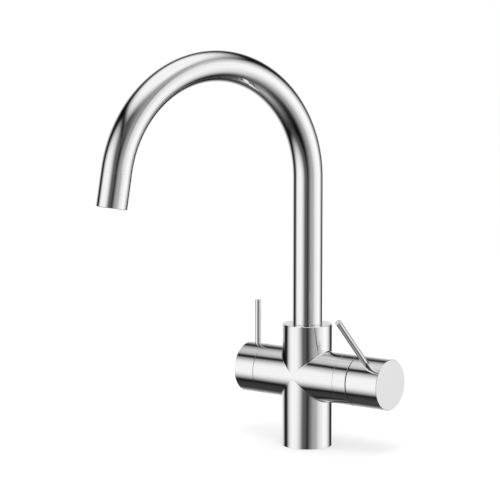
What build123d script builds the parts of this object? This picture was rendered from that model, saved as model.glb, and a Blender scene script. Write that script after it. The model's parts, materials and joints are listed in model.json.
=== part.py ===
import math
import os

from build123d import *

os.makedirs("parts", exist_ok=True)

# Drinking water filter tap, in millimetres. Up is +Z, the barrel lies along X,
# the front is -Y, and the origin is on the body's axis at the worktop.

# Turns, in degrees
spout_turn = 254.15
arch_sweep = 170.2
mixer_lever_turn = 45.0

# Body: an upright post crossed by a barrel
body_radius = 25.0
body_height = 123.7
body_edge = 0.3
barrel_radius = 25.2
barrel_height = 72.4
barrel_left = 49.8
barrel_right = 48.67
shroud_joint_gap = 0.03
barrel_edge = 0.15
crossing_blend = 1.2
overrun = 1.0

# Foot: seal groove, hose inlets and the hole for the fixing stud
foot_seal_inner = 20.6
foot_seal_outer = 23.4
foot_seal_depth = 2.0
hose_thread_radius = 4.5
hose_thread_depth = 14.0
stud_thread_radius = 3.4
stud_thread_depth = 18.0
mixer_inlet_x = 3.0
mixer_inlet_y = 7.5
filter_inlet_x = -14.0
stud_x = 16.0

# Waterways inside the body
inlet_way_radius = 3.0
mixer_port_drop = 6.0
mixed_way_x = 8.6
mixed_way_radius = 2.8
mixed_way_rise = 9.0
filtered_way_radius = 2.0
filtered_way_rise = 11.0
filtered_way_start = 31.5

# Socket for the spout in the top of the body
socket_radius = 12.0
socket_depth = 22.0
nipple_bore_radius = 4.0
nipple_bore_depth = 8.0
glide_ring_inner = 12.4
glide_ring_outer = 14.4
glide_ring_recess = 0.8
glide_ring_stand = 0.15

# Spout: tube, collar, spigot and the inner tube for filtered water
tube_radius = 15.0
tube_wall = 1.0
collar_height = 1.6
straight_top = 270.8
arch_radius = 114.2
tail_length = 35.8
nose_length = 33.5
nose_seam = 0.3
spigot_running_gap = 0.05
spigot_base_gap = 3.4
spigot_floor = 4.0
spigot_bore = 9.5
spigot_tongue = 11.6
hub_radius = 6.5
hub_height = 12.0
hub_bore_radius = 2.2
hub_socket_depth = 8.0
nipple_length = 7.0
mixed_hole_radius = 1.2
mixed_hole_circle = 8.0
mixed_hole_count = 8
inner_tube_radius = 4.0
inner_tube_bore = 3.0
spout_seal_cord = 0.785
spout_seal_gap = 0.03
spout_seal_heights = (5.6, 9.8)
seal_groove_width = 2.0
nipple_seal_cord = 0.6
nipple_seal_gap = 0.02
nipple_seal_height = 3.5
keeper_height = 16.0
keeper_groove_width = 4.2
keeper_groove_radius = 10.6

# Nose of the spout with the aerator
nose_bore = 12.8
nose_tongue = 6.0
nose_edge = 0.4
aerator_thread_radius = 12.0
aerator_seat = 13.6
aerator_shelf = 2.0
aerator_shelf_radius = 10.8
aerator_recess = 0.8
aerator_length = 11.2
aerator_wall = 2.1
diffuser_at = 8.0
diffuser_thickness = 2.0
diffuser_hole_radius = 1.2
diffuser_hole_circle = 7.4
diffuser_hole_count = 10
screen_at = 1.6
screen_thickness = 0.8
screen_hole_radius = 0.45
screen_circles = (5.6, 7.0, 8.6)
screen_counts = (16, 20, 26)
nozzle_radius = 4.6
nozzle_bore = 2.6
nozzle_recess = 0.3
nozzle_length = 21.0
nozzle_cup_radius = 5.4
nozzle_cup_length = 9.0
nozzle_cup_depth = 8.0
aerator_seal_inner = 9.6

# Grub screws with a six-sided key recess
grub_radius = 2.5
grub_key_radius = 1.4
grub_key_depth = 2.2
grub_key_sides = 6
grub_length = 8.0
keeper_tip_side_gap = 0.1
keeper_tip_end_gap = 0.3
keeper_shoulder = 13.0

# Mixer cartridge, thirty-five millimetre kind
chamber_floor = 20.0
chamber_radius = 17.6
cartridge_gap = 0.1
cartridge_base_gap = 0.4
cartridge_base_top = 25.0
mould_seal_radius = 13.5
mould_seal_thickness = 1.6
cartridge_port_radius = 2.8
peg_radius = 1.5
peg_length = 2.0
peg_spread = 15.4
fixed_disc_gap = 0.2
disc_thickness = 3.0
moving_disc_radius = 12.0
mixing_pocket_radius = 8.5
mixing_pocket_depth = 1.2
carrier_thickness = 4.4
rotor_gap = 0.3
rotor_flange_thickness = 3.7
rotor_radius = 11.0
rotor_top = 50.0
rotor_running_gap = 0.05
housing_cavity_radius = 15.0
housing_shoulder = 43.0
housing_neck_radius = 13.0
slot_half_length = 6.9
slot_side_gap = 0.15
pivot_x = 40.7
pin_radius = 1.5
pin_end_gap = 0.4
pin_running_gap = 0.05
stem_half_width = 4.0
stem_start = 36.6
stem_end = 84.0
stem_neck_radius = 1.3
ball_radius = 1.9
ball_drop = 7.5
ball_pocket_gap = 0.1

# Retaining nut and the shroud that hides it
nut_thread_radius = 20.0
nut_seat_gap = 0.3
nut_step = 49.5
nut_top = 57.0
nut_upper_radius = 17.5
nut_bore_gap = 0.2
nut_step_gap = 0.3
nut_wide_bore = 15.5
nut_notch_width = 4.0
nut_notch_depth = 2.5
nut_notch_count = 6
shroud_length = 15.4
shroud_edge = 0.2
shroud_bore = 22.6
shroud_thread_start = 50.5
shroud_thread_length = 5.0

# Mixer handle
mixer_handle_gap = 1.15
mixer_handle_length = 36.0
handle_edge = 0.3
mixer_rim_gap = 0.3
mixer_handle_bore = 21.5
mixer_handle_end_wall = 4.8
mixer_hub_start = 58.5
mixer_hub_radius = 9.0
mixer_socket_gap = 0.05
mixer_screw_x = 80.0
boss_radius = 5.5

# Lever pins
lever_radius = 3.0
lever_edge = 0.3
lever_sink = 2.0
lever_shank_radius = 2.5
lever_shank_length = 10.0
mixer_lever_length = 74.0
mixer_lever_setback = 13.55
filter_lever_length = 45.2
filter_lever_setback = 11.35

# Filtered water valve, a half turn ceramic headpart
valve_floor = 22.0
valve_bore_radius = 10.25
valve_recess_start = 38.0
valve_recess_radius = 17.0
valve_groove_start = 29.2
valve_groove_end = 33.8
valve_groove_radius = 12.6
valve_seal_thickness = 1.2
valve_seal_inner = 4.0
valve_thread_gap = 0.05
valve_hex_end = 42.0
valve_hex_radius = 13.8
valve_neck_radius = 9.0
valve_end = 47.0
valve_cavity_radius = 8.2
valve_disc_gap = 0.1
valve_foot_side_gap = 0.4
valve_window_half = 1.6
valve_disc_thickness = 3.0
valve_foot_thickness = 3.0
valve_foot_gap = 0.3
spindle_radius = 5.0
spindle_running_gap = 0.05
spindle_end_radius = 4.0
spindle_end = 66.0
spindle_seal_at = 37.5
spindle_seal_cord = 0.6
spindle_seal_gap = 0.02
clip_gap = 0.3
clip_shoulder = 0.9
clip_thickness = 0.8
clip_radius = 6.5
clip_seat_radius = 4.2
valve_port_radius = 5.6
valve_port_sweep = 150.0

# Filter handle
filter_handle_gap = 0.3
filter_handle_length = 23.6
filter_handle_bore = 22.0
filter_handle_end_wall = 6.6
filter_hub_radius = 9.0

# Places and fits that follow from the sizes above
shroud_start = barrel_right + shroud_joint_gap
shroud_end = shroud_start + shroud_length
mixer_handle_start = shroud_end + mixer_handle_gap
mixer_handle_end = mixer_handle_start + mixer_handle_length
filter_handle_start = barrel_left + filter_handle_gap
filter_handle_end = filter_handle_start + filter_handle_length
socket_floor = body_height - socket_depth
collar_foot = body_height + glide_ring_stand
collar_top = collar_foot + collar_height
spigot_foot = socket_floor + spigot_base_gap
spigot_radius = socket_radius - spigot_running_gap
spout_seal_reach = socket_radius - spout_seal_gap
nipple_radius = nipple_bore_radius - spigot_running_gap
nipple_seal_reach = nipple_bore_radius - nipple_seal_gap
keeper_tip_radius = keeper_groove_width / 2 - keeper_tip_side_gap
keeper_tip_reach = keeper_groove_radius + keeper_tip_end_gap
tube_bore = tube_radius - tube_wall
aerator_wall_inner = aerator_thread_radius - aerator_wall
cartridge_radius = chamber_radius - cartridge_gap
fixed_disc_radius = housing_cavity_radius - fixed_disc_gap
rotor_flange_radius = housing_cavity_radius - rotor_gap
slot_half_width = stem_half_width + slot_side_gap
pin_half_length = rotor_radius - pin_end_gap
nut_bore = housing_neck_radius + nut_bore_gap
nut_bore_step = rotor_top + nut_step_gap
mixer_lever_x = mixer_handle_end - mixer_lever_setback
filter_lever_x = filter_lever_setback - filter_handle_end
disc_face = cartridge_base_top + disc_thickness
carrier_face = disc_face + disc_thickness
carrier_top = carrier_face + carrier_thickness
rotor_foot = carrier_top + rotor_gap
rotor_flange_top = rotor_foot + rotor_flange_thickness
housing_ceiling = rotor_flange_top + rotor_gap
mixer_rim_sphere = math.hypot(shroud_end - shroud_edge - pivot_x, barrel_radius) + mixer_rim_gap
mixer_rim_bore = math.sqrt(mixer_rim_sphere**2 - (mixer_handle_start - pivot_x) ** 2)
mixer_rim_end = pivot_x + math.sqrt(mixer_rim_sphere**2 - mixer_handle_bore**2)
valve_disc_radius = valve_cavity_radius - valve_disc_gap
valve_foot_radius = valve_cavity_radius - valve_foot_side_gap
spindle_seal_reach = spindle_radius + spindle_running_gap - spindle_seal_gap
clip_start = valve_end + clip_gap
spindle_step = clip_start + clip_thickness + clip_shoulder
valve_seat = valve_floor + valve_seal_thickness
valve_disc_face = valve_seat + valve_disc_thickness
valve_foot_face = valve_disc_face + valve_disc_thickness
valve_foot_top = valve_foot_face + valve_foot_thickness
valve_ceiling = valve_foot_top + valve_foot_gap

# Lines that the pieces are turned on: x runs along the line
barrel_line = Plane(origin=(0, 0, barrel_height), x_dir=(1, 0, 0), z_dir=(0, -1, 0))
upright_line = Plane(origin=(0, 0, 0), x_dir=(0, 0, 1), z_dir=(0, 1, 0))
spout_cos = math.cos(math.radians(spout_turn))
spout_sin = math.sin(math.radians(spout_turn))
spout_plane = Plane(
    origin=(0, 0, 0), x_dir=(spout_cos, spout_sin, 0), z_dir=(spout_sin, -spout_cos, 0)
)
arch_cos = math.cos(math.radians(arch_sweep))
arch_sin = math.sin(math.radians(arch_sweep))
tip_out = arch_radius * (1 - arch_cos) + tail_length * arch_sin
tip_height = straight_top + arch_radius * arch_sin + tail_length * arch_cos
nose_line = Plane(
    origin=spout_plane.from_local_coords(Vector(tip_out, tip_height, 0)),
    x_dir=(-arch_sin * spout_cos, -arch_sin * spout_sin, -arch_cos),
    z_dir=(spout_sin, -spout_cos, 0),
)
turn_cos = math.cos(math.radians(mixer_lever_turn))
turn_sin = math.sin(math.radians(mixer_lever_turn))
mixer_lever_line = Plane(
    origin=(mixer_lever_x, -turn_sin * barrel_radius, barrel_height + turn_cos * barrel_radius),
    x_dir=(0, -turn_sin, turn_cos),
    z_dir=(0, turn_cos, turn_sin),
)
mixer_screw_line = Plane(
    origin=(mixer_screw_x, 0, barrel_height),
    x_dir=(0, turn_sin, -turn_cos),
    z_dir=(1, 0, 0),
)
pin_line = Plane(
    origin=(pivot_x, 0, barrel_height), x_dir=(0, turn_cos, turn_sin), z_dir=(1, 0, 0)
)
filter_lever_line = Plane(
    origin=(filter_lever_x, 0, barrel_height + barrel_radius),
    x_dir=(0, 0, 1),
    z_dir=(0, 1, 0),
)
filter_screw_line = Plane(
    origin=(filter_lever_x, 0, barrel_height), x_dir=(0, 0, -1), z_dir=(0, 1, 0)
)
keeper_line = Plane(
    origin=(0, 0, socket_floor + keeper_height), x_dir=(0, 1, 0), z_dir=(1, 0, 0)
)


def turned(line, outline, mode=Mode.ADD):
    """Turn an outline of (place along the line, radius) corners round the line."""
    with BuildSketch(line, mode=Mode.PRIVATE) as section:
        with BuildLine():
            Polyline(*outline, close=True)
        make_face()
    revolve(section.sketch, axis=Axis(line.origin, line.x_dir), mode=mode)


def bar(start, end, radius):
    """The outline of a plain round bar."""
    return [(start, 0), (end, 0), (end, radius), (start, radius)]


def sleeve(start, end, inner, outer):
    """The outline of a plain round sleeve."""
    return [(start, inner), (end, inner), (end, outer), (start, outer)]


def cord_ring(line, place, reach, cord, mode=Mode.ADD):
    """A round rubber ring whose outside stands at the reach."""
    with BuildSketch(line, mode=Mode.PRIVATE) as section:
        with Locations((place, reach - cord)):
            Circle(cord)
    revolve(section.sketch, axis=Axis(line.origin, line.x_dir), mode=mode)


def across(line, place):
    """The plane square to a line at a place along it."""
    return Plane(
        origin=line.origin + line.x_dir * place, x_dir=line.y_dir, z_dir=line.x_dir
    )


def grub_screw(line, outline, head):
    """A headless screw with a key recess in its outer end."""
    turned(line, outline)
    with BuildSketch(across(line, head), mode=Mode.PRIVATE) as key:
        RegularPolygon(grub_key_radius, grub_key_sides)
    extrude(key.sketch, amount=-grub_key_depth, mode=Mode.SUBTRACT)


def way(start, end, radius):
    """A round waterway between two points, cut out of the piece."""
    run = Vector(*end) - Vector(*start)
    with BuildSketch(Plane(origin=start, z_dir=run), mode=Mode.PRIVATE) as mouth:
        Circle(radius)
    extrude(mouth.sketch, amount=run.length, mode=Mode.SUBTRACT)


# The hose inlets in the foot, as (x, y)
hose_inlets = (
    (mixer_inlet_x, mixer_inlet_y),
    (mixer_inlet_x, -mixer_inlet_y),
    (filter_inlet_x, 0),
)

# The three ports of the mixer cartridge, as (y, z) from the barrel's axis
mixer_ports = (
    (mixer_inlet_y, -mixer_port_drop),
    (-mixer_inlet_y, -mixer_port_drop),
    (0, mixed_way_rise),
)
port_plane = Plane(origin=(0, 0, barrel_height), x_dir=(0, 1, 0), z_dir=(1, 0, 0))


def port_holes(start, end, radius):
    """The three cartridge ports, cut from one place to another along the barrel."""
    with BuildSketch(port_plane.offset(start), mode=Mode.PRIVATE) as ports:
        with Locations(*mixer_ports):
            Circle(radius)
    extrude(ports.sketch, amount=end - start, mode=Mode.SUBTRACT)


# Tap body
with BuildPart() as tap_body:
    turned(
        upright_line,
        [
            (0, 0),
            (0, body_radius),
            (body_height - body_edge, body_radius),
            (body_height, body_radius - body_edge),
            (body_height, 0),
        ],
    )
    turned(
        barrel_line,
        [
            (-barrel_left, 0),
            (-barrel_left, barrel_radius - barrel_edge),
            (-barrel_left + barrel_edge, barrel_radius),
            (barrel_right - barrel_edge, barrel_radius),
            (barrel_right, barrel_radius - barrel_edge),
            (barrel_right, 0),
        ],
    )
    crossing = (
        tap_body.edges()
        .filter_by(GeomType.LINE, reverse=True)
        .filter_by(GeomType.CIRCLE, reverse=True)
    )
    fillet(crossing, radius=crossing_blend)
    # Spout socket
    turned(upright_line, bar(socket_floor, body_height + overrun, socket_radius), Mode.SUBTRACT)
    turned(
        upright_line,
        bar(socket_floor - nipple_bore_depth, socket_floor + overrun, nipple_bore_radius),
        Mode.SUBTRACT,
    )
    turned(
        upright_line,
        sleeve(
            body_height - glide_ring_recess,
            body_height + overrun,
            socket_radius - overrun,
            glide_ring_outer,
        ),
        Mode.SUBTRACT,
    )
    turned(
        keeper_line,
        bar(socket_radius - overrun, body_radius + overrun, grub_radius),
        Mode.SUBTRACT,
    )
    # Foot
    turned(
        upright_line,
        sleeve(-overrun, foot_seal_depth, foot_seal_inner, foot_seal_outer),
        Mode.SUBTRACT,
    )
    for inlet_x, inlet_y in hose_inlets:
        way((inlet_x, inlet_y, -overrun), (inlet_x, inlet_y, hose_thread_depth), hose_thread_radius)
    way((stud_x, 0, -overrun), (stud_x, 0, stud_thread_depth), stud_thread_radius)
    # Mixer chamber
    turned(barrel_line, bar(chamber_floor, barrel_right + overrun, chamber_radius), Mode.SUBTRACT)
    turned(
        barrel_line,
        bar(housing_shoulder - nut_seat_gap, barrel_right + overrun, nut_thread_radius),
        Mode.SUBTRACT,
    )
    with BuildSketch(port_plane.offset(chamber_floor), mode=Mode.PRIVATE) as peg_holes:
        with Locations((peg_spread, 0), (-peg_spread, 0)):
            Circle(peg_radius)
    extrude(peg_holes.sketch, amount=-peg_length, mode=Mode.SUBTRACT)
    # Filter valve chamber
    turned(barrel_line, bar(-barrel_left - overrun, -valve_recess_start, valve_recess_radius), Mode.SUBTRACT)
    turned(
        barrel_line,
        bar(-valve_recess_start - overrun, -valve_floor, valve_bore_radius),
        Mode.SUBTRACT,
    )
    turned(barrel_line, bar(-valve_groove_end, -valve_groove_start, valve_groove_radius), Mode.SUBTRACT)
    # Waterways
    for inlet_x, inlet_y in hose_inlets:
        turn_height = barrel_height if inlet_y == 0 else barrel_height - mixer_port_drop
        mouth_x = -valve_floor - overrun if inlet_y == 0 else chamber_floor + overrun
        foot = (inlet_x, inlet_y, hose_thread_depth - overrun)
        bend = (inlet_x, inlet_y, turn_height)
        way(foot, bend, inlet_way_radius)
        way(bend, (mouth_x, inlet_y, turn_height), cartridge_port_radius)
    mixed_bend = (mixed_way_x, 0, barrel_height + mixed_way_rise)
    way((chamber_floor + overrun, 0, barrel_height + mixed_way_rise), mixed_bend, mixed_way_radius)
    way(mixed_bend, (mixed_way_x, 0, socket_floor + overrun), mixed_way_radius)
    filtered_bend = (0, 0, barrel_height + filtered_way_rise)
    way((-filtered_way_start, 0, barrel_height + filtered_way_rise), filtered_bend, filtered_way_radius)
    way(filtered_bend, (0, 0, socket_floor - nipple_bore_depth + overrun), filtered_way_radius)
tap_body.part.label = "tap_body"
export_step(tap_body.part, "parts/tap_body.step")

# Seal ring under the foot
with BuildPart() as base_seal:
    turned(upright_line, sleeve(0, foot_seal_depth, foot_seal_inner, foot_seal_outer))
base_seal.part.label = "base_seal"
export_step(base_seal.part, "parts/base_seal.step")

# Plastic ring that the spout glides on
with BuildPart() as spout_glide_ring:
    turned(
        upright_line,
        sleeve(body_height - glide_ring_recess, collar_foot, glide_ring_inner, glide_ring_outer),
    )
spout_glide_ring.part.label = "spout_glide_ring"
export_step(spout_glide_ring.part, "parts/spout_glide_ring.step")

# Screw at the back that keeps the spout in its socket
with BuildPart() as spout_keeper_screw:
    grub_screw(
        keeper_line,
        [
            (keeper_tip_reach, 0),
            (keeper_tip_reach, keeper_tip_radius),
            (keeper_shoulder, keeper_tip_radius),
            (keeper_shoulder, grub_radius),
            (keeper_shoulder + grub_length, grub_radius),
            (keeper_shoulder + grub_length, 0),
        ],
        keeper_shoulder + grub_length,
    )
spout_keeper_screw.part.label = "spout_keeper_screw"
export_step(spout_keeper_screw.part, "parts/spout_keeper_screw.step")

# Spout tube: straight up, over the arch and down to the nose
with BuildPart() as spout_tube:
    with BuildLine(spout_plane) as route:
        rise = Line((0, collar_top), (0, straight_top))
        arch = JernArc(
            start=(0, straight_top), tangent=(0, 1), radius=arch_radius, arc_size=-arch_sweep
        )
        tail = Line(arch @ 1, (arch @ 1) + (tail_length - nose_length) * (arch % 1))
    with BuildSketch(Plane.XY.offset(collar_top)):
        Circle(tube_radius)
        Circle(tube_bore, mode=Mode.SUBTRACT)
    sweep(path=route.line)
spout_tube.part.label = "spout_tube"
export_step(spout_tube.part, "parts/spout_tube.step")

# Collar under the spout tube
with BuildPart() as spout_collar:
    turned(upright_line, sleeve(collar_foot, collar_top, spigot_radius, tube_radius))
spout_collar.part.label = "spout_collar"
export_step(spout_collar.part, "parts/spout_collar.step")

# Spigot of the spout: turns in the body's socket and splits the two waters
with BuildPart() as spout_spigot:
    turned(
        upright_line,
        [
            (spigot_foot, 0),
            (spigot_foot, spigot_radius),
            (collar_top, spigot_radius),
            (collar_top, tube_bore),
            (collar_top + spigot_tongue, tube_bore),
            (collar_top + spigot_tongue, spigot_bore),
            (spigot_foot + spigot_floor, spigot_bore),
            (spigot_foot + spigot_floor, hub_radius),
            (spigot_foot + spigot_floor + hub_height, hub_radius),
            (spigot_foot + spigot_floor + hub_height, 0),
        ],
    )
    turned(upright_line, bar(spigot_foot - spigot_base_gap - nipple_length, spigot_foot, nipple_radius))
    for height in spout_seal_heights:
        turned(
            upright_line,
            sleeve(
                socket_floor + height - seal_groove_width / 2,
                socket_floor + height + seal_groove_width / 2,
                spout_seal_reach - 2 * spout_seal_cord,
                socket_radius + overrun,
            ),
            Mode.SUBTRACT,
        )
    turned(
        upright_line,
        sleeve(
            socket_floor + keeper_height - keeper_groove_width / 2,
            socket_floor + keeper_height + keeper_groove_width / 2,
            keeper_groove_radius,
            socket_radius + overrun,
        ),
        Mode.SUBTRACT,
    )
    turned(
        upright_line,
        sleeve(
            socket_floor - nipple_seal_height - nipple_seal_cord,
            socket_floor - nipple_seal_height + nipple_seal_cord,
            nipple_seal_reach - 2 * nipple_seal_cord,
            nipple_bore_radius + overrun,
        ),
        Mode.SUBTRACT,
    )
    hub_top = spigot_foot + spigot_floor + hub_height
    turned(
        upright_line,
        bar(hub_top - hub_socket_depth, hub_top + overrun, inner_tube_radius),
        Mode.SUBTRACT,
    )
    turned(
        upright_line,
        bar(socket_floor - nipple_length - overrun, hub_top, hub_bore_radius),
        Mode.SUBTRACT,
    )
    with BuildSketch(Plane.XY.offset(spigot_foot - overrun), mode=Mode.PRIVATE) as mixed_holes:
        with PolarLocations(mixed_hole_circle, mixed_hole_count):
            Circle(mixed_hole_radius)
    extrude(mixed_holes.sketch, amount=spigot_floor + 2 * overrun, mode=Mode.SUBTRACT)
spout_spigot.part.label = "spout_spigot"
export_step(spout_spigot.part, "parts/spout_spigot.step")

# Rubber rings of the spigot
with BuildPart() as spout_seal_lower:
    cord_ring(upright_line, socket_floor + spout_seal_heights[0], spout_seal_reach, spout_seal_cord)
spout_seal_lower.part.label = "spout_seal_lower"
export_step(spout_seal_lower.part, "parts/spout_seal_lower.step")

with BuildPart() as spout_seal_upper:
    cord_ring(upright_line, socket_floor + spout_seal_heights[1], spout_seal_reach, spout_seal_cord)
spout_seal_upper.part.label = "spout_seal_upper"
export_step(spout_seal_upper.part, "parts/spout_seal_upper.step")

with BuildPart() as nipple_seal:
    cord_ring(upright_line, socket_floor - nipple_seal_height, nipple_seal_reach, nipple_seal_cord)
nipple_seal.part.label = "nipple_seal"
export_step(nipple_seal.part, "parts/nipple_seal.step")

# Inner tube that carries the filtered water to the nozzle
nozzle_top = nozzle_recess + nozzle_length
with BuildPart() as filtered_water_tube:
    with BuildLine(spout_plane) as inner_route:
        inner_rise = Line((0, hub_top - hub_socket_depth), (0, straight_top))
        inner_arch = JernArc(
            start=(0, straight_top), tangent=(0, 1), radius=arch_radius, arc_size=-arch_sweep
        )
        inner_tail = Line(
            inner_arch @ 1,
            (inner_arch @ 1) + (tail_length - nozzle_top + nozzle_cup_depth) * (inner_arch % 1),
        )
    with BuildSketch(Plane.XY.offset(hub_top - hub_socket_depth)):
        Circle(inner_tube_radius)
        Circle(inner_tube_bore, mode=Mode.SUBTRACT)
    sweep(path=inner_route.line)
filtered_water_tube.part.label = "filtered_water_tube"
export_step(filtered_water_tube.part, "parts/filtered_water_tube.step")

# Nose of the spout
with BuildPart() as spout_nose:
    turned(
        nose_line,
        [
            (0, aerator_thread_radius + nose_edge),
            (nose_edge, aerator_thread_radius),
            (aerator_seat, aerator_thread_radius),
            (aerator_seat, aerator_shelf_radius),
            (aerator_seat + aerator_shelf, aerator_shelf_radius),
            (aerator_seat + aerator_shelf, nose_bore),
            (nose_length + nose_tongue, nose_bore),
            (nose_length + nose_tongue, tube_bore),
            (nose_length, tube_bore),
            (nose_length, tube_radius - nose_seam),
            (nose_length - nose_seam, tube_radius),
            (nose_edge, tube_radius),
            (0, tube_radius - nose_edge),
        ],
    )
spout_nose.part.label = "spout_nose"
export_step(spout_nose.part, "parts/spout_nose.step")

# Aerator: threaded ring with a diffuser plate round the filtered water nozzle
with BuildPart() as aerator_body:
    turned(
        nose_line,
        sleeve(aerator_recess, aerator_recess + aerator_length, aerator_wall_inner, aerator_thread_radius),
    )
    turned(
        nose_line,
        sleeve(diffuser_at, diffuser_at + diffuser_thickness, nozzle_radius, aerator_thread_radius),
    )
    with BuildSketch(across(nose_line, diffuser_at - overrun), mode=Mode.PRIVATE) as diffuser_holes:
        with PolarLocations(diffuser_hole_circle, diffuser_hole_count):
            Circle(diffuser_hole_radius)
    extrude(diffuser_holes.sketch, amount=diffuser_thickness + 2 * overrun, mode=Mode.SUBTRACT)
aerator_body.part.label = "aerator_body"
export_step(aerator_body.part, "parts/aerator_body.step")

with BuildPart() as aerator_screen:
    turned(nose_line, sleeve(screen_at, screen_at + screen_thickness, nozzle_radius, aerator_wall_inner))
    for circle_radius, hole_count in zip(screen_circles, screen_counts):
        with BuildSketch(across(nose_line, screen_at - overrun), mode=Mode.PRIVATE) as screen_holes:
            with PolarLocations(circle_radius, hole_count):
                Circle(screen_hole_radius)
        extrude(screen_holes.sketch, amount=screen_thickness + 2 * overrun, mode=Mode.SUBTRACT)
aerator_screen.part.label = "aerator_screen"
export_step(aerator_screen.part, "parts/aerator_screen.step")

with BuildPart() as aerator_seal:
    turned(
        nose_line,
        sleeve(aerator_recess + aerator_length, aerator_seat, aerator_seal_inner, aerator_thread_radius),
    )
aerator_seal.part.label = "aerator_seal"
export_step(aerator_seal.part, "parts/aerator_seal.step")

# Nozzle of the filtered water, in the middle of the aerator
with BuildPart() as filtered_nozzle:
    turned(
        nose_line,
        [
            (nozzle_recess, nozzle_bore),
            (nozzle_recess, nozzle_radius),
            (nozzle_top - nozzle_cup_length, nozzle_radius),
            (nozzle_top - nozzle_cup_length, nozzle_cup_radius),
            (nozzle_top, nozzle_cup_radius),
            (nozzle_top, inner_tube_radius),
            (nozzle_top - nozzle_cup_depth, inner_tube_radius),
            (nozzle_top - nozzle_cup_depth, nozzle_bore),
        ],
    )
filtered_nozzle.part.label = "filtered_nozzle"
export_step(filtered_nozzle.part, "parts/filtered_nozzle.step")

# Mixer cartridge: base, moulded seal, housing and fixed disc
with BuildPart() as mixer_base_seal:
    turned(barrel_line, bar(chamber_floor, chamber_floor + mould_seal_thickness, mould_seal_radius))
    port_holes(
        chamber_floor - overrun,
        chamber_floor + mould_seal_thickness + overrun,
        cartridge_port_radius,
    )
mixer_base_seal.part.label = "mixer_base_seal"
export_step(mixer_base_seal.part, "parts/mixer_base_seal.step")

with BuildPart() as mixer_cartridge_base:
    turned(barrel_line, bar(chamber_floor + cartridge_base_gap, cartridge_base_top, cartridge_radius))
    turned(
        barrel_line,
        bar(chamber_floor - overrun, chamber_floor + mould_seal_thickness, mould_seal_radius),
        Mode.SUBTRACT,
    )
    port_holes(chamber_floor, cartridge_base_top + overrun, cartridge_port_radius)
    with BuildSketch(port_plane.offset(chamber_floor - peg_length), mode=Mode.PRIVATE) as pegs:
        with Locations((peg_spread, 0), (-peg_spread, 0)):
            Circle(peg_radius)
    extrude(pegs.sketch, amount=peg_length + mould_seal_thickness)
mixer_cartridge_base.part.label = "mixer_cartridge_base"
export_step(mixer_cartridge_base.part, "parts/mixer_cartridge_base.step")

with BuildPart() as mixer_cartridge_housing:
    turned(
        barrel_line,
        [
            (cartridge_base_top, housing_cavity_radius),
            (cartridge_base_top, cartridge_radius),
            (housing_shoulder, cartridge_radius),
            (housing_shoulder, housing_neck_radius),
            (rotor_top, housing_neck_radius),
            (rotor_top, rotor_radius + rotor_running_gap),
            (housing_ceiling, rotor_radius + rotor_running_gap),
            (housing_ceiling, housing_cavity_radius),
        ],
    )
mixer_cartridge_housing.part.label = "mixer_cartridge_housing"
export_step(mixer_cartridge_housing.part, "parts/mixer_cartridge_housing.step")

with BuildPart() as mixer_fixed_disc:
    turned(barrel_line, bar(cartridge_base_top, disc_face, fixed_disc_radius))
    port_holes(cartridge_base_top - overrun, disc_face + overrun, cartridge_port_radius)
mixer_fixed_disc.part.label = "mixer_fixed_disc"
export_step(mixer_fixed_disc.part, "parts/mixer_fixed_disc.step")

# Retaining nut that clamps the cartridge
with BuildPart() as mixer_retaining_nut:
    turned(
        barrel_line,
        [
            (housing_shoulder, nut_bore),
            (housing_shoulder, nut_thread_radius),
            (nut_step, nut_thread_radius),
            (nut_step, nut_upper_radius),
            (nut_top, nut_upper_radius),
            (nut_top, nut_wide_bore),
            (nut_bore_step, nut_wide_bore),
            (nut_bore_step, nut_bore),
        ],
    )
    with BuildSketch(port_plane.offset(nut_top - nut_notch_depth), mode=Mode.PRIVATE) as notches:
        with PolarLocations((nut_wide_bore + nut_upper_radius) / 2, nut_notch_count):
            Rectangle(nut_upper_radius - nut_wide_bore + 2 * overrun, nut_notch_width)
    extrude(notches.sketch, amount=nut_notch_depth + overrun, mode=Mode.SUBTRACT)
mixer_retaining_nut.part.label = "mixer_retaining_nut"
export_step(mixer_retaining_nut.part, "parts/mixer_retaining_nut.step")

# Shroud screwed over the nut, between the body and the mixer handle
with BuildPart() as mixer_shroud:
    turned(
        barrel_line,
        [
            (shroud_start, shroud_bore),
            (shroud_start, barrel_radius - barrel_edge),
            (shroud_start + barrel_edge, barrel_radius),
            (shroud_end - shroud_edge, barrel_radius),
            (shroud_end, barrel_radius - shroud_edge),
            (shroud_end, shroud_bore),
            (shroud_thread_start + shroud_thread_length, shroud_bore),
            (shroud_thread_start + shroud_thread_length, nut_upper_radius),
            (shroud_thread_start, nut_upper_radius),
            (shroud_thread_start, shroud_bore),
        ],
    )
mixer_shroud.part.label = "mixer_shroud"
export_step(mixer_shroud.part, "parts/mixer_shroud.step")

# Rotor of the cartridge, turned by the lever to set the temperature
with BuildPart() as mixer_rotor:
    turned(barrel_line, bar(rotor_foot, rotor_flange_top, rotor_flange_radius))
    turned(barrel_line, bar(rotor_foot, rotor_top, rotor_radius))
    with BuildSketch(
        Plane(origin=(rotor_foot - overrun, 0, barrel_height), x_dir=pin_line.x_dir, z_dir=(1, 0, 0)),
        mode=Mode.PRIVATE,
    ) as slot:
        Rectangle(2 * slot_half_width, 2 * slot_half_length)
    extrude(slot.sketch, amount=rotor_top - rotor_foot + 2 * overrun, mode=Mode.SUBTRACT)
    turned(pin_line, bar(-pin_half_length - overrun, pin_half_length + overrun, pin_radius), Mode.SUBTRACT)
mixer_rotor.part.label = "mixer_rotor"
export_step(mixer_rotor.part, "parts/mixer_rotor.step")

with BuildPart() as mixer_pivot_pin:
    turned(pin_line, bar(-pin_half_length, pin_half_length, pin_radius))
mixer_pivot_pin.part.label = "mixer_pivot_pin"
export_step(mixer_pivot_pin.part, "parts/mixer_pivot_pin.step")

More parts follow.
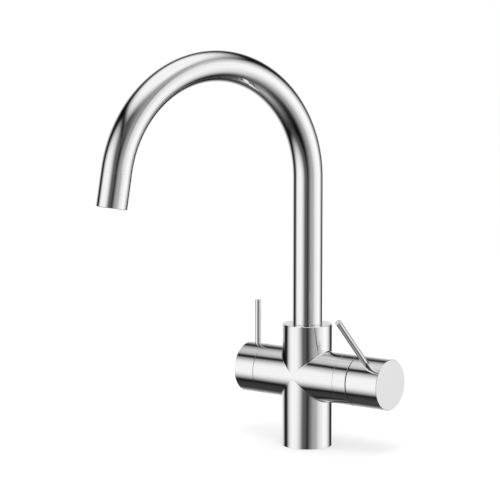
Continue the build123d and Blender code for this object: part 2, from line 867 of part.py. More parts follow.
# Moving disc and its carrier
with BuildPart() as mixer_moving_disc:
    turned(barrel_line, bar(disc_face, carrier_face, moving_disc_radius))
    turned(
        barrel_line,
        bar(disc_face - overrun, disc_face + mixing_pocket_depth, mixing_pocket_radius),
        Mode.SUBTRACT,
    )
mixer_moving_disc.part.label = "mixer_moving_disc"
export_step(mixer_moving_disc.part, "parts/mixer_moving_disc.step")

with BuildPart() as mixer_disc_carrier:
    turned(barrel_line, bar(carrier_face, carrier_top, moving_disc_radius))
    turned(
        barrel_line,
        bar(carrier_face - overrun, carrier_top + overrun, ball_radius + ball_pocket_gap),
        Mode.SUBTRACT,
    )
mixer_disc_carrier.part.label = "mixer_disc_carrier"
export_step(mixer_disc_carrier.part, "parts/mixer_disc_carrier.step")

# Stem of the mixer: rocks on the pivot pin and drives the carrier with its ball
with BuildPart() as mixer_stem:
    with BuildSketch(
        Plane(origin=(stem_start, 0, barrel_height), x_dir=pin_line.x_dir, z_dir=(1, 0, 0)),
        mode=Mode.PRIVATE,
    ) as stem_section:
        Rectangle(2 * stem_half_width, 2 * stem_half_width)
    extrude(stem_section.sketch, amount=stem_end - stem_start)
    turned(barrel_line, bar(pivot_x - ball_drop, stem_start + overrun, stem_neck_radius))
    with Locations((pivot_x - ball_drop, 0, barrel_height)):
        Sphere(ball_radius)
    turned(
        pin_line,
        bar(-stem_half_width - overrun, stem_half_width + overrun, pin_radius + pin_running_gap),
        Mode.SUBTRACT,
    )
mixer_stem.part.label = "mixer_stem"
export_step(mixer_stem.part, "parts/mixer_stem.step")

# Mixer handle: hollow cap with a hub for the stem and bosses for lever and screw
with BuildPart() as mixer_handle:
    with BuildSketch(barrel_line, mode=Mode.PRIVATE) as cap_section:
        with BuildLine():
            Polyline(
                (mixer_handle_start, mixer_rim_bore),
                (mixer_handle_start, barrel_radius),
                (mixer_handle_end - handle_edge, barrel_radius),
                (mixer_handle_end, barrel_radius - handle_edge),
                (mixer_handle_end, 0),
                (mixer_handle_end - mixer_handle_end_wall, 0),
                (mixer_handle_end - mixer_handle_end_wall, mixer_handle_bore),
                (mixer_rim_end, mixer_handle_bore),
            )
            RadiusArc(
                (mixer_rim_end, mixer_handle_bore),
                (mixer_handle_start, mixer_rim_bore),
                mixer_rim_sphere,
            )
        make_face()
    revolve(cap_section.sketch, axis=Axis(barrel_line.origin, barrel_line.x_dir))
    turned(barrel_line, bar(mixer_hub_start, mixer_handle_end - overrun, mixer_hub_radius))
    turned(mixer_lever_line, bar(-lever_sink - lever_shank_length - lever_radius, -lever_sink, boss_radius))
    turned(mixer_screw_line, bar(0, barrel_radius - lever_sink, boss_radius))
    with BuildSketch(
        Plane(origin=(mixer_hub_start - overrun, 0, barrel_height), x_dir=pin_line.x_dir, z_dir=(1, 0, 0)),
        mode=Mode.PRIVATE,
    ) as stem_socket:
        Rectangle(2 * (stem_half_width + mixer_socket_gap), 2 * (stem_half_width + mixer_socket_gap))
    extrude(stem_socket.sketch, amount=stem_end - mixer_hub_start + overrun, mode=Mode.SUBTRACT)
    turned(mixer_lever_line, bar(-lever_sink, overrun, lever_radius), Mode.SUBTRACT)
    turned(
        mixer_lever_line,
        bar(-lever_sink - lever_shank_length, 0, lever_shank_radius),
        Mode.SUBTRACT,
    )
    turned(mixer_screw_line, bar(stem_half_width, barrel_radius + overrun, grub_radius), Mode.SUBTRACT)
mixer_handle.part.label = "mixer_handle"
export_step(mixer_handle.part, "parts/mixer_handle.step")


def lever_outline(length):
    """The outline of a lever pin, from its threaded shank to its eased end."""
    return [
        (-lever_sink - lever_shank_length, 0),
        (-lever_sink - lever_shank_length, lever_shank_radius),
        (-lever_sink, lever_shank_radius),
        (-lever_sink, lever_radius),
        (length - lever_edge, lever_radius),
        (length, lever_radius - lever_edge),
        (length, 0),
    ]


with BuildPart() as mixer_lever:
    turned(mixer_lever_line, lever_outline(mixer_lever_length))
mixer_lever.part.label = "mixer_lever"
export_step(mixer_lever.part, "parts/mixer_lever.step")

with BuildPart() as mixer_handle_screw:
    grub_screw(
        mixer_screw_line,
        bar(stem_half_width, stem_half_width + grub_length, grub_radius),
        stem_half_width + grub_length,
    )
mixer_handle_screw.part.label = "mixer_handle_screw"
export_step(mixer_handle_screw.part, "parts/mixer_handle_screw.step")

# Filtered water valve
with BuildPart() as filter_valve_seal:
    turned(barrel_line, sleeve(-valve_seat, -valve_floor, valve_seal_inner, valve_bore_radius))
filter_valve_seal.part.label = "filter_valve_seal"
export_step(filter_valve_seal.part, "parts/filter_valve_seal.step")

with BuildPart() as filter_valve_body:
    turned(
        barrel_line,
        [
            (-valve_seat, valve_cavity_radius),
            (-valve_seat, valve_bore_radius - valve_thread_gap),
            (-valve_recess_start, valve_bore_radius - valve_thread_gap),
            (-valve_recess_start, valve_neck_radius),
            (-valve_end, valve_neck_radius),
            (-valve_end, spindle_radius + spindle_running_gap),
            (-valve_ceiling, spindle_radius + spindle_running_gap),
            (-valve_ceiling, valve_cavity_radius),
        ],
    )
    with BuildSketch(port_plane.offset(-valve_hex_end), mode=Mode.PRIVATE) as spanner_faces:
        RegularPolygon(valve_hex_radius, grub_key_sides)
        Circle(valve_neck_radius, mode=Mode.SUBTRACT)
    extrude(spanner_faces.sketch, amount=valve_hex_end - valve_recess_start)
    with BuildSketch(port_plane.offset(-valve_foot_face), mode=Mode.PRIVATE) as windows:
        Rectangle(2 * (valve_bore_radius + overrun), 2 * valve_window_half)
        Circle(valve_cavity_radius - overrun, mode=Mode.SUBTRACT)
    extrude(windows.sketch, amount=-valve_foot_thickness, mode=Mode.SUBTRACT)
filter_valve_body.part.label = "filter_valve_body"
export_step(filter_valve_body.part, "parts/filter_valve_body.step")


def half_port(start, end):
    """The half moon opening of a valve disc, cut through it."""
    with BuildSketch(port_plane.offset(start), mode=Mode.PRIVATE) as moon:
        with BuildLine():
            rim = CenterArc((0, 0), valve_port_radius, (180 - valve_port_sweep) / 2, valve_port_sweep)
            Line(rim @ 1, rim @ 0)
        make_face()
    extrude(moon.sketch, amount=end - start, mode=Mode.SUBTRACT)


with BuildPart() as filter_fixed_disc:
    turned(barrel_line, bar(-valve_disc_face, -valve_seat, valve_disc_radius))
    half_port(-valve_disc_face - overrun, -valve_seat + overrun)
filter_fixed_disc.part.label = "filter_fixed_disc"
export_step(filter_fixed_disc.part, "parts/filter_fixed_disc.step")

with BuildPart() as filter_moving_disc:
    turned(barrel_line, bar(-valve_foot_face, -valve_disc_face, valve_foot_radius))
    half_port(-valve_foot_face - overrun, -valve_disc_face + overrun)
filter_moving_disc.part.label = "filter_moving_disc"
export_step(filter_moving_disc.part, "parts/filter_moving_disc.step")

with BuildPart() as filter_spindle:
    turned(barrel_line, bar(-valve_foot_top, -valve_foot_face, valve_foot_radius))
    turned(barrel_line, bar(-spindle_step, -valve_foot_face, spindle_radius))
    turned(barrel_line, bar(-spindle_end, -valve_foot_face, spindle_end_radius))
    turned(
        barrel_line,
        sleeve(
            -spindle_seal_at - spindle_seal_cord,
            -spindle_seal_at + spindle_seal_cord,
            spindle_seal_reach - 2 * spindle_seal_cord,
            spindle_radius + overrun,
        ),
        Mode.SUBTRACT,
    )
    turned(
        barrel_line,
        sleeve(-clip_start - clip_thickness, -clip_start, clip_seat_radius, spindle_radius + overrun),
        Mode.SUBTRACT,
    )
filter_spindle.part.label = "filter_spindle"
export_step(filter_spindle.part, "parts/filter_spindle.step")

with BuildPart() as filter_spindle_seal:
    cord_ring(barrel_line, -spindle_seal_at, spindle_seal_reach, spindle_seal_cord)
filter_spindle_seal.part.label = "filter_spindle_seal"
export_step(filter_spindle_seal.part, "parts/filter_spindle_seal.step")

with BuildPart() as filter_spindle_clip:
    turned(barrel_line, sleeve(-clip_start - clip_thickness, -clip_start, clip_seat_radius, clip_radius))
filter_spindle_clip.part.label = "filter_spindle_clip"
export_step(filter_spindle_clip.part, "parts/filter_spindle_clip.step")

# Filter handle
with BuildPart() as filter_handle:
    turned(
        barrel_line,
        [
            (-filter_handle_start, filter_handle_bore),
            (-filter_handle_start, barrel_radius - barrel_edge),
            (-filter_handle_start - barrel_edge, barrel_radius),
            (-filter_handle_end + handle_edge, barrel_radius),
            (-filter_handle_end, barrel_radius - handle_edge),
            (-filter_handle_end, 0),
            (-filter_handle_end + filter_handle_end_wall, 0),
            (-filter_handle_end + filter_handle_end_wall, filter_handle_bore),
        ],
    )
    turned(
        barrel_line,
        bar(-filter_handle_end + filter_handle_end_wall, -filter_handle_start, filter_hub_radius),
    )
    turned(
        filter_screw_line,
        bar(lever_sink - barrel_radius, barrel_radius - lever_sink, boss_radius),
    )
    turned(
        barrel_line,
        bar(-spindle_end, -filter_handle_start + overrun, spindle_end_radius),
        Mode.SUBTRACT,
    )
    turned(filter_lever_line, bar(-lever_sink, overrun, lever_radius), Mode.SUBTRACT)
    turned(
        filter_lever_line,
        bar(-lever_sink - lever_shank_length, 0, lever_shank_radius),
        Mode.SUBTRACT,
    )
    turned(
        filter_screw_line,
        bar(spindle_end_radius, barrel_radius + overrun, grub_radius),
        Mode.SUBTRACT,
    )
filter_handle.part.label = "filter_handle"
export_step(filter_handle.part, "parts/filter_handle.step")

with BuildPart() as filter_lever:
    turned(filter_lever_line, lever_outline(filter_lever_length))
filter_lever.part.label = "filter_lever"
export_step(filter_lever.part, "parts/filter_lever.step")

with BuildPart() as filter_handle_screw:
    grub_screw(
        filter_screw_line,
        bar(spindle_end_radius, spindle_end_radius + grub_length, grub_radius),
        spindle_end_radius + grub_length,
    )
filter_handle_screw.part.label = "filter_handle_screw"
export_step(filter_handle_screw.part, "parts/filter_handle_screw.step")
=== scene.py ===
"""Gives the drinking water filter tap its finishes, and sets the studio and the camera round it."""

import json
import math

import bpy
from bpy.props import FloatProperty, FloatVectorProperty, PointerProperty
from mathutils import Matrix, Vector

bl_info = {
    "name": "Drinking water filter tap",
    "version": (1, 0, 0),
    "blender": (4, 5, 0),
    "location": "3D View > Sidebar > Filter tap",
    "description": "Finishes of a filter tap, with its studio and its camera",
    "category": "Material",
}

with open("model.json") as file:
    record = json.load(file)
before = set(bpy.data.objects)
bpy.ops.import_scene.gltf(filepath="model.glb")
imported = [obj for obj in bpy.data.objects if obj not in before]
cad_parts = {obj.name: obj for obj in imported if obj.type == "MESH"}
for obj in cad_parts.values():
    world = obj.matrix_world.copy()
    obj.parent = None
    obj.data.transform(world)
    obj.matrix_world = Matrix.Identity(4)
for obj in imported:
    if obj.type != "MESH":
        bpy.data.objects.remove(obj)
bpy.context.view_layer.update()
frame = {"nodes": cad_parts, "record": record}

# The record's colour of each finish
finish_colours = {row["slot"]: (*row["base_color"], 1.0) for row in frame["record"]["materials"]}

# Where each finish goes: the record names a slot for every piece
piece_slots = {row["node"]: row["material_slot"] for row in frame["record"]["subparts"]}

# What each finish without plate goes over to in patches: tarnish on the metals, clouds in the rest
patch_colours = {
    "brass": (0.5, 0.36, 0.16, 1.0),
    "stainless_steel": (0.48, 0.48, 0.47, 1.0),
    "black_rubber": (0.05, 0.05, 0.05, 1.0),
    "white_ceramic": (0.84, 0.84, 0.81, 1.0),
    "white_plastic": (0.82, 0.82, 0.79, 1.0),
    "grey_plastic": (0.27, 0.28, 0.3, 1.0),
}

# The skin of each moulded or lapped finish: its grains per metre, its roughness on the lowest and on
# the highest of them, and how much of its light comes from under the skin
skins = {
    "black_rubber": {"grains": 4000.0, "roughness": (0.5, 0.75), "soft": 0.0},
    "white_ceramic": {"grains": 2500.0, "roughness": (0.18, 0.34), "soft": 0.0},
    "white_plastic": {"grains": 3000.0, "roughness": (0.35, 0.5), "soft": 0.05},
    "grey_plastic": {"grains": 2200.0, "roughness": (0.45, 0.65), "soft": 0.0},
}

# Patches of noise, with their cells per metre as the scale. A patch begins where the noise passes its
# edge value, and is full where it passes its core value.
water_marks = {"scale": 45.0, "detail": 4.0, "roughness": 0.6, "edge": 0.48, "core": 0.72}
tarnish_patches = {"scale": 160.0, "detail": 4.0, "roughness": 0.6, "edge": 0.4, "core": 0.7}
moulding_clouds = {"scale": 90.0, "detail": 3.0, "roughness": 0.5, "edge": 0.35, "core": 0.65}

# Noise without patches: the lines that a cloth leaves along the height of the plate, the plate's
# ripple, and the grain of a skin, which takes its scale from the skin
wiping_lines = {"scale": 900.0, "detail": 2.0, "roughness": 0.5}
wiping_stretch = (1.0, 1.0, 0.12)
plate_ripple = {"scale": 130.0, "detail": 1.0, "roughness": 0.5}
skin_grain = {"detail": 2.0, "roughness": 0.6}

# A smudge on the plate is a water mark times a wiping line, and is full at this value
full_smudge = 0.6

# The lowest and the highest grain of a skin, as values of its noise
grain_range = (0.35, 0.65)

# Roughness of a bare metal where it is clean and where it is tarnished
metal_roughness = (0.24, 0.42)

# The waves that the lathe leaves on bare metal: how far they bend, their finer layers, and the length
# along an axis after which the wave node's diagonal bands repeat at a scale of 1
wave_bend = 1.5
wave_detail = 2.0
band_length = 0.2 * math.pi

# Heights of the reliefs, in metres
ripple_height = 0.000003
wave_height = 0.000008
grain_height = 0.00001

# The studio that the polished plate mirrors: a light tent of four soft walls, with two more bands
# above and below on its right, a faint wash from the front left, a glow at the rear, a ceiling and a
# floor. A heading is in degrees round the tap from +X towards +Y, and a height in degrees above level.
# The reach of a light along and up its wall is a share of the distance to the wall. It is full out to
# the core, a share of the reach, and fades to nothing at the rim. With a core below 0 it is already
# fading in its middle. Where lights overlap, their levels add up.
wall_lights = {
    "rear right wall": {"heading": 35.0, "height": 0.0, "reach": (1.2, 1.2), "core": 0.1, "level": 0.95},
    "rear left wall": {"heading": 137.0, "height": -8.0, "reach": (1.65, 1.1), "core": 0.0, "level": 0.75},
    "front left wall": {"heading": 240.0, "height": 1.0, "reach": (1.15, 1.15), "core": 0.2, "level": 0.8},
    "front right wall": {"heading": 342.0, "height": -8.0, "reach": (0.75, 0.9), "core": 0.1, "level": 0.4},
    "upper right band": {"heading": 355.0, "height": 38.0, "reach": (1.2, 0.7), "core": -0.5, "level": 0.5},
    "lower right band": {"heading": 0.0, "height": -40.0, "reach": (0.9, 0.5), "core": -0.5, "level": 0.45},
    "front left wash": {"heading": 260.0, "height": 5.0, "reach": (1.4, 1.8), "core": 0.4, "level": 0.1},
    "rear glow": {"heading": 128.0, "height": 8.0, "reach": (0.35, 0.3), "core": 0.0, "level": 0.1},
}

# The ceiling and the floor of that tent. Upward is 1 for overhead and -1 for underfoot, and the rim
# and the core are shares of the distance to the deck.
deck_lights = {
    "ceiling": {"upward": 1.0, "rim": 1.25, "core": 0.4, "level": 0.9},
    "floor": {"upward": -1.0, "rim": 0.8, "core": -0.8, "level": 0.8},
    "floor wash": {"upward": -1.0, "rim": 1.05, "core": 0.8, "level": 0.03},
}

# Black cloths along the tent's edges, placed as the lights are: the level is the share of the light
# that a cloth takes away
dark_cloths = {
    "upper left edge": {"heading": 235.0, "height": 45.0, "reach": (2.4, 0.15), "core": 0.0, "level": 0.95},
    "lower right edge": {"heading": 320.0, "height": -45.0, "reach": (0.8, 1.1), "core": 0.0, "level": 0.65},
    "left corner": {"heading": 187.0, "height": -5.0, "reach": (0.45, 0.9), "core": 0.0, "level": 1.0},
    "rear corner": {"heading": 93.0, "height": -18.0, "reach": (0.4, 0.7), "core": 0.1, "level": 1.0},
}

# What the tent's unlit corners give
dark_corner_level = 0.01

# A mirrored ray that points at a wall or a deck by less than this misses it, so nothing is divided
# by 0
least_depth = 0.001

# Plain white, and the strength at which the camera sees the world as white
white = (1.0, 1.0, 1.0, 1.0)
white_level = 1.0

# The soft lamp overhead, in metres and watts
lamp_across = 0.9
lamp_power = 6.0
lamp_place = (0.5, -0.7, 1.5)
lamp_aim = (0.0, 0.0, 0.1)

# The floor, in metres: half its side, and how far below the foot it lies, because two faces in one
# plane would flicker
floor_half = 6.0
floor_drop = 0.0002

# The camera: the width of its sensor in millimetres, and its nearest and farthest sight in metres
sensor_width = 36.0
nearest_sight = 0.1
farthest_sight = 50.0


class TapFinishSettings(bpy.types.PropertyGroup):
    """Colours and gloss of the tap's finishes"""

    chrome_colour: FloatVectorProperty(
        name="Chrome colour",
        description="Colour of light mirrored by the polished plate",
        subtype="COLOR",
        size=4,
        min=0.0,
        max=1.0,
        default=(0.9, 0.9, 0.905, 1.0),
    )
    chrome_roughness: FloatProperty(
        name="Chrome roughness",
        description="Roughness of the freshly wiped plate",
        subtype="FACTOR",
        min=0.0,
        max=1.0,
        default=0.03,
    )
    chrome_smudge: FloatProperty(
        name="Chrome smudges",
        description="Roughness that old water marks and wiping add at most",
        subtype="FACTOR",
        min=0.0,
        max=1.0,
        default=0.05,
    )
    turning_waves: FloatProperty(
        name="Turning waves",
        description="Distance along an axis between the waves that the lathe leaves on bare metal",
        subtype="DISTANCE",
        unit="LENGTH",
        min=0.00005,
        default=0.00377,
    )


class TapStageSettings(bpy.types.PropertyGroup):
    """Studio and camera"""

    floor_colour: FloatVectorProperty(
        name="Floor colour",
        description="Colour of the pale floor",
        subtype="COLOR",
        size=4,
        min=0.0,
        max=1.0,
        default=(0.8, 0.8, 0.8, 1.0),
    )
    floor_glow: FloatProperty(
        name="Floor lift",
        description="Light that makes the floor look white to the camera alone",
        min=0.0,
        default=0.36,
    )
    room_level: FloatProperty(
        name="Room light",
        description="Level of the even light in the room",
        min=0.0,
        default=0.8,
    )
    mirror_level: FloatProperty(
        name="Mirrored studio",
        description="Level of the studio as the plate mirrors it",
        min=0.0,
        default=1.1,
    )
    focal_length: FloatProperty(
        name="Focal length",
        description="Focal length of the camera on a 36 mm sensor",
        subtype="DISTANCE_CAMERA",
        min=1.0,
        default=160.67,
    )
    camera_place: FloatVectorProperty(
        name="Camera place",
        description="Where the camera stands",
        subtype="TRANSLATION",
        unit="LENGTH",
        size=3,
        default=(1.312, -1.788, 0.4775),
    )
    camera_heading: FloatProperty(
        name="Camera heading",
        description="How far the camera is turned from +Y towards -X",
        subtype="ANGLE",
        unit="ROTATION",
        default=math.radians(37.76),
    )
    camera_dip: FloatProperty(
        name="Camera dip",
        description="How far the camera looks down",
        subtype="ANGLE",
        unit="ROTATION",
        default=math.radians(7.18),
    )


class Board:
    """Places shader nodes in a node tree and joins them up."""

    def __init__(self, tree):
        self.tree = tree
        tree.nodes.clear()

    def add(self, kind, inputs=(), **settings):
        """A new node. inputs holds (socket, value or other node's output) pairs."""
        node = self.tree.nodes.new(kind)
        for key, value in settings.items():
            setattr(node, key, value)
        for key, value in inputs:
            self.give(node.inputs[key], value)
        return node

    def give(self, socket, value):
        """Sets a socket to a value, or links it to another node's output."""
        if isinstance(value, bpy.types.NodeSocket):
            self.tree.links.new(value, socket)
        else:
            socket.default_value = value

    def reckon(self, operation, *values):
        """One step of arithmetic on numbers."""
        return self.add("ShaderNodeMath", list(enumerate(values)), operation=operation).outputs["Value"]

    def dot(self, vector, direction):
        """How far a vector reaches along a fixed direction."""
        node = self.add("ShaderNodeVectorMath", [(0, vector), (1, direction)], operation="DOT_PRODUCT")
        return node.outputs["Value"]

    def spread(self, value, low, high, to_low, to_high, smooth=False):
        """A value stretched from one range to another and kept inside it."""
        node = self.add(
            "ShaderNodeMapRange",
            [
                ("Value", value),
                ("From Min", low),
                ("From Max", high),
                ("To Min", to_low),
                ("To Max", to_high),
            ],
            interpolation_type="SMOOTHSTEP" if smooth else "LINEAR",
        )
        return node.outputs["Result"]

    def noise(self, place, scale, detail, roughness):
        """Cloudy noise between about 0.3 and 0.7. scale is in cells per metre."""
        node = self.add(
            "ShaderNodeTexNoise",
            [("Vector", place), ("Scale", scale), ("Detail", detail), ("Roughness", roughness)],
        )
        return node.outputs["Fac"]

    def patches(self, place, edge, core, **noise):
        """Soft patches of noise: 0 outside a patch and 1 in its core."""
        return self.spread(self.noise(place, **noise), edge, core, 0.0, 1.0, smooth=True)

    def stretched(self, place, scale):
        """Coordinates stretched by a scale along each axis."""
        node = self.add("ShaderNodeMapping", [("Vector", place), ("Scale", scale)])
        return node.outputs["Vector"]

    def waves(self, place, length, bend, detail):
        """Slanting waves that repeat after a length along each axis."""
        node = self.add(
            "ShaderNodeTexWave",
            [("Vector", place), ("Scale", band_length / length), ("Distortion", bend), ("Detail", detail)],
            bands_direction="DIAGONAL",
        )
        return node.outputs["Fac"]

    def bump(self, height, distance):
        """Relief of a height map. distance is in metres."""
        return self.add("ShaderNodeBump", [("Height", height), ("Distance", distance)]).outputs["Normal"]

    def blend(self, share, colour, other):
        """A colour that goes over to another where the share is 1."""
        # The mix node takes its colours in sockets 6 and 7, and gives one in output 2
        node = self.add("ShaderNodeMix", [(0, share), (6, colour), (7, other)], data_type="RGBA")
        return node.outputs[2]

    def background(self, colour, level):
        """Light from all round."""
        return self.add("ShaderNodeBackground", [("Color", colour), ("Strength", level)]).outputs[0]

    def choose(self, share, usual, other):
        """The usual shader, or the other one where the share is 1."""
        return self.add("ShaderNodeMixShader", [(0, share), (1, usual), (2, other)]).outputs[0]


def new_finish(name, metallic):
    """A material with a surface shader: (material, board, shader, place on the piece)."""
    material = bpy.data.materials.new(name)
    material.use_nodes = True
    board = Board(material.node_tree)
    shader = board.add("ShaderNodeBsdfPrincipled", [("Metallic", metallic)])
    board.add("ShaderNodeOutputMaterial", [("Surface", shader.outputs["BSDF"])])
    place = board.add("ShaderNodeTexCoord").outputs["Object"]
    return material, board, shader, place


def polished_chrome(settings):
    """Mirror-bright plate with faint water marks and wiping lines."""
    material, board, shader, place = new_finish("polished_chrome", metallic=1.0)
    board.give(shader.inputs["Base Color"], settings.chrome_colour)
    marks = board.patches(place, **water_marks)
    lines = board.noise(board.stretched(place, wiping_stretch), **wiping_lines)
    smudges = board.reckon("MULTIPLY", marks, lines)
    low = settings.chrome_roughness
    high = low + settings.chrome_smudge
    board.give(shader.inputs["Roughness"], board.spread(smudges, 0.0, full_smudge, low, high))
    ripple = board.noise(place, **plate_ripple)
    board.give(shader.inputs["Normal"], board.bump(ripple, ripple_height))
    return material


def turned_metal(slot, settings):
    """Bare metal with faint waves from the lathe and a little tarnish."""
    material, board, shader, place = new_finish(slot, metallic=1.0)
    tarnish = board.patches(place, **tarnish_patches)
    colour = board.blend(tarnish, finish_colours[slot], patch_colours[slot])
    board.give(shader.inputs["Base Color"], colour)
    waves = board.waves(place, settings.turning_waves, wave_bend, wave_detail)
    board.give(shader.inputs["Roughness"], board.spread(tarnish, 0.0, 1.0, *metal_roughness))
    board.give(shader.inputs["Normal"], board.bump(waves, wave_height))
    return material


def moulded(slot):
    """Moulded plastic or rubber, or lapped ceramic, with clouds in its colour and a grained skin."""
    skin = skins[slot]
    material, board, shader, place = new_finish(slot, metallic=0.0)
    board.give(shader.inputs["Subsurface Weight"], skin["soft"])
    clouds = board.patches(place, **moulding_clouds)
    colour = board.blend(clouds, finish_colours[slot], patch_colours[slot])
    board.give(shader.inputs["Base Color"], colour)
    grain = board.noise(place, skin["grains"], **skin_grain)
    board.give(shader.inputs["Roughness"], board.spread(grain, *grain_range, *skin["roughness"]))
    board.give(shader.inputs["Normal"], board.bump(grain, grain_height))
    return material


def dress(slot, material):
    """Puts a finish on every CAD piece of one slot."""
    dressed = [name for name, its_slot in piece_slots.items() if its_slot == slot]
    if not dressed:
        raise RuntimeError("no piece takes the finish " + slot)
    for name in dressed:
        slots = frame["nodes"][name].material_slots
        if not slots:
            raise RuntimeError("no material slot on " + name)
        for place in slots:
            place.material = material


class TAP_OT_chrome(bpy.types.Operator):
    """Plates the body, the spout, the handles and the levers with polished chrome"""

    bl_idname = "filter_tap.chrome"
    bl_label = "Chrome pieces"

    def execute(self, context):
        dress("polished_chrome", polished_chrome(context.scene.tap_finish))
        return {"FINISHED"}


class TAP_OT_brass(bpy.types.Operator):
    """Gives the valve headpart, its spindle, the spigot and the cartridge nut bare turned brass"""

    bl_idname = "filter_tap.brass"
    bl_label = "Brass pieces"

    def execute(self, context):
        dress("brass", turned_metal("brass", context.scene.tap_finish))
        return {"FINISHED"}


class TAP_OT_steel(bpy.types.Operator):
    """Gives the screws, the pin, the clip, the stem and the outlet screen machined steel"""

    bl_idname = "filter_tap.steel"
    bl_label = "Steel pieces"

    def execute(self, context):
        dress("stainless_steel", turned_metal("stainless_steel", context.scene.tap_finish))
        return {"FINISHED"}


class TAP_OT_rubber(bpy.types.Operator):
    """Gives the foot seal and the seal rings black rubber"""

    bl_idname = "filter_tap.rubber"
    bl_label = "Rubber rings"

    def execute(self, context):
        dress("black_rubber", moulded("black_rubber"))
        return {"FINISHED"}


class TAP_OT_ceramic(bpy.types.Operator):
    """Gives the four valve discs lapped ceramic"""

    bl_idname = "filter_tap.ceramic"
    bl_label = "Ceramic discs"

    def execute(self, context):
        dress("white_ceramic", moulded("white_ceramic"))
        return {"FINISHED"}


class TAP_OT_plastic(bpy.types.Operator):
    """Gives the cartridge, the glide ring, the inner tube and the aerator moulded plastic"""

    bl_idname = "filter_tap.plastic"
    bl_label = "Plastic pieces"

    def execute(self, context):
        for slot in ("white_plastic", "grey_plastic"):
            dress(slot, moulded(slot))
        return {"FINISHED"}


def wall_light(board, gaze, light):
    """Brightness of one soft light on a studio wall: full in the middle, nothing at its rim."""
    turn = math.radians(light["heading"])
    rise = math.radians(light["height"])
    ahead = Vector((math.cos(turn) * math.cos(rise), math.sin(turn) * math.cos(rise), math.sin(rise)))
    along = Vector((-math.sin(turn), math.cos(turn), 0.0))
    upward = ahead.cross(along)
    depth = board.dot(gaze, ahead)
    in_front = board.reckon("GREATER_THAN", depth, least_depth)
    depth = board.reckon("MAXIMUM", depth, least_depth)
    squares = []
    for direction, reach in zip((along, upward), light["reach"]):
        share = board.reckon("DIVIDE", board.dot(gaze, direction / reach), depth)
        squares.append(board.reckon("MULTIPLY", share, share))
    out = board.reckon("SQRT", board.reckon("ADD", *squares))
    glow = board.spread(out, light["core"], 1.0, light["level"], 0.0, smooth=True)
    return board.reckon("MULTIPLY", glow, in_front)


def deck_light(board, gaze, light):
    """Brightness of the studio's ceiling or floor: full in the middle, nothing at its rim."""
    height = board.dot(gaze, (0.0, 0.0, light["upward"]))
    on_this_side = board.reckon("GREATER_THAN", height, least_depth)
    level_axes = (1.0, 1.0, 0.0)
    level_part = board.add("ShaderNodeVectorMath", [(0, gaze), (1, level_axes)], operation="MULTIPLY")
    length = board.add("ShaderNodeVectorMath", [(0, level_part.outputs["Vector"])], operation="LENGTH")
    depth = board.reckon("MAXIMUM", height, least_depth)
    out = board.reckon("DIVIDE", length.outputs["Value"], depth)
    glow = board.spread(out, light["core"], light["rim"], light["level"], 0.0, smooth=True)
    return board.reckon("MULTIPLY", glow, on_this_side)


def studio_glow(board):
    """The tent as a mirror shows it: its lights added up, less what the dark cloths take away."""
    gaze = board.add("ShaderNodeTexCoord").outputs["Generated"]
    lights = [deck_light(board, gaze, light) for light in deck_lights.values()]
    lights += [wall_light(board, gaze, light) for light in wall_lights.values()]
    glow = dark_corner_level
    for light in lights:
        glow = board.reckon("ADD", light, glow)
    for cloth in dark_cloths.values():
        kept = board.reckon("SUBTRACT", 1.0, wall_light(board, gaze, cloth))
        glow = board.reckon("MULTIPLY", glow, kept)
    return glow


def light_studio(scene, settings):
    """Lights the room evenly, shows mirrors the studio and shows the camera white."""
    world = bpy.data.worlds.new("studio")
    scene.world = world
    world.use_nodes = True
    board = Board(world.node_tree)
    glow = studio_glow(board)
    rays = board.add("ShaderNodeLightPath").outputs
    mirrored = board.background(glow, settings.mirror_level)
    even = board.background(white, settings.room_level)
    backdrop = board.background(white, white_level)
    through = board.reckon("MAXIMUM", rays["Is Glossy Ray"], rays["Is Transmission Ray"])
    lit = board.choose(through, even, mirrored)
    seen = board.choose(rays["Is Camera Ray"], lit, backdrop)
    board.add("ShaderNodeOutputWorld", [("Surface", seen)])


def hang_lamp(scene):
    """Hangs a soft round lamp overhead, which no mirror shows."""
    lamp = bpy.data.lights.new("overhead_lamp", "AREA")
    lamp.shape = "DISK"
    lamp.size = lamp_across
    lamp.energy = lamp_power
    overhead = bpy.data.objects.new("overhead_lamp", lamp)
    overhead.location = lamp_place
    overhead.rotation_euler = (Vector(lamp_aim) - overhead.location).to_track_quat("-Z", "Y").to_euler()
    overhead.visible_glossy = False
    scene.collection.objects.link(overhead)


def lay_floor(scene, settings):
    """Lays the plain pale floor that the tap stands on, which no mirror shows."""
    sides = (-floor_half, floor_half)
    corners = [(x, y, -floor_drop) for y in sides for x in sides]
    mesh = bpy.data.meshes.new("floor")
    mesh.from_pydata(corners, [], [(0, 1, 3, 2)])
    floor = bpy.data.objects.new("floor", mesh)
    scene.collection.objects.link(floor)
    floor.visible_glossy = False

    material = bpy.data.materials.new("pale_floor")
    material.use_nodes = True
    board = Board(material.node_tree)
    matt = board.add("ShaderNodeBsdfDiffuse", [("Color", settings.floor_colour)]).outputs[0]
    own = board.add("ShaderNodeEmission", [("Color", white), ("Strength", settings.floor_glow)]).outputs[0]
    lifted = board.add("ShaderNodeAddShader", [(0, matt), (1, own)]).outputs[0]
    rays = board.add("ShaderNodeLightPath").outputs
    seen = board.choose(rays["Is Camera Ray"], matt, lifted)
    board.add("ShaderNodeOutputMaterial", [("Surface", seen)])
    mesh.materials.append(material)


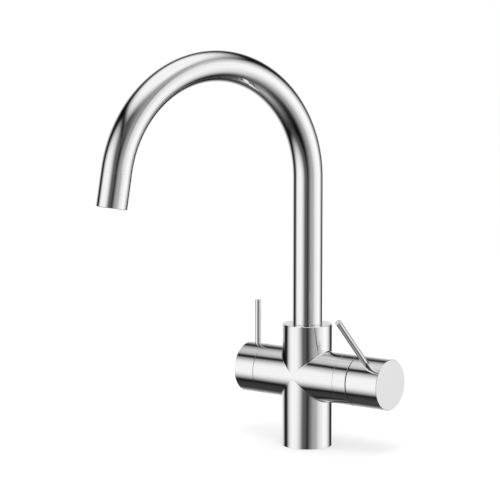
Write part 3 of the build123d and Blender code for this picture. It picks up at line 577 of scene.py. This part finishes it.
def place_camera(scene, settings):
    """Stands the camera in front of the tap, to its right and a little above."""
    data = bpy.data.cameras.new("camera")
    data.sensor_fit = "HORIZONTAL"
    data.sensor_width = sensor_width
    data.lens = settings.focal_length
    data.clip_start = nearest_sight
    data.clip_end = farthest_sight
    camera = bpy.data.objects.new("camera", data)
    camera.location = settings.camera_place
    camera.rotation_euler = (math.pi / 2 - settings.camera_dip, 0.0, settings.camera_heading)
    scene.collection.objects.link(camera)
    scene.camera = camera
    scene.view_settings.view_transform = "Standard"


class TAP_OT_stage(bpy.types.Operator):
    """Sets up the studio's light, its lamp, the floor and the camera"""

    bl_idname = "filter_tap.stage"
    bl_label = "Stage"

    def execute(self, context):
        settings = context.scene.tap_stage
        light_studio(context.scene, settings)
        hang_lamp(context.scene)
        lay_floor(context.scene, settings)
        place_camera(context.scene, settings)
        return {"FINISHED"}


class TAP_PT_panel(bpy.types.Panel):
    """The tap's finishes and its stage"""

    bl_idname = "TAP_PT_panel"
    bl_label = "Filter tap"
    bl_space_type = "VIEW_3D"
    bl_region_type = "UI"
    bl_category = "Filter tap"

    def draw(self, context):
        for group in (context.scene.tap_finish, context.scene.tap_stage):
            for name in group.__annotations__:
                self.layout.prop(group, name)
        for operator in operators:
            self.layout.operator(operator.bl_idname)


operators = (
    TAP_OT_chrome,
    TAP_OT_brass,
    TAP_OT_steel,
    TAP_OT_rubber,
    TAP_OT_ceramic,
    TAP_OT_plastic,
    TAP_OT_stage,
)
classes = (TapFinishSettings, TapStageSettings, *operators, TAP_PT_panel)


def register():
    """Adds the settings, the operators and the panel."""
    for cls in classes:
        bpy.utils.register_class(cls)
    bpy.types.Scene.tap_finish = PointerProperty(type=TapFinishSettings)
    bpy.types.Scene.tap_stage = PointerProperty(type=TapStageSettings)


def unregister():
    """Takes away what register added."""
    del bpy.types.Scene.tap_stage
    del bpy.types.Scene.tap_finish
    for cls in reversed(classes):
        bpy.utils.unregister_class(cls)


def main():
    register()
    for name in ("chrome", "brass", "steel", "rubber", "ceramic", "plastic", "stage"):
        getattr(bpy.ops.filter_tap, name)()


if __name__ == "__main__":
    main()
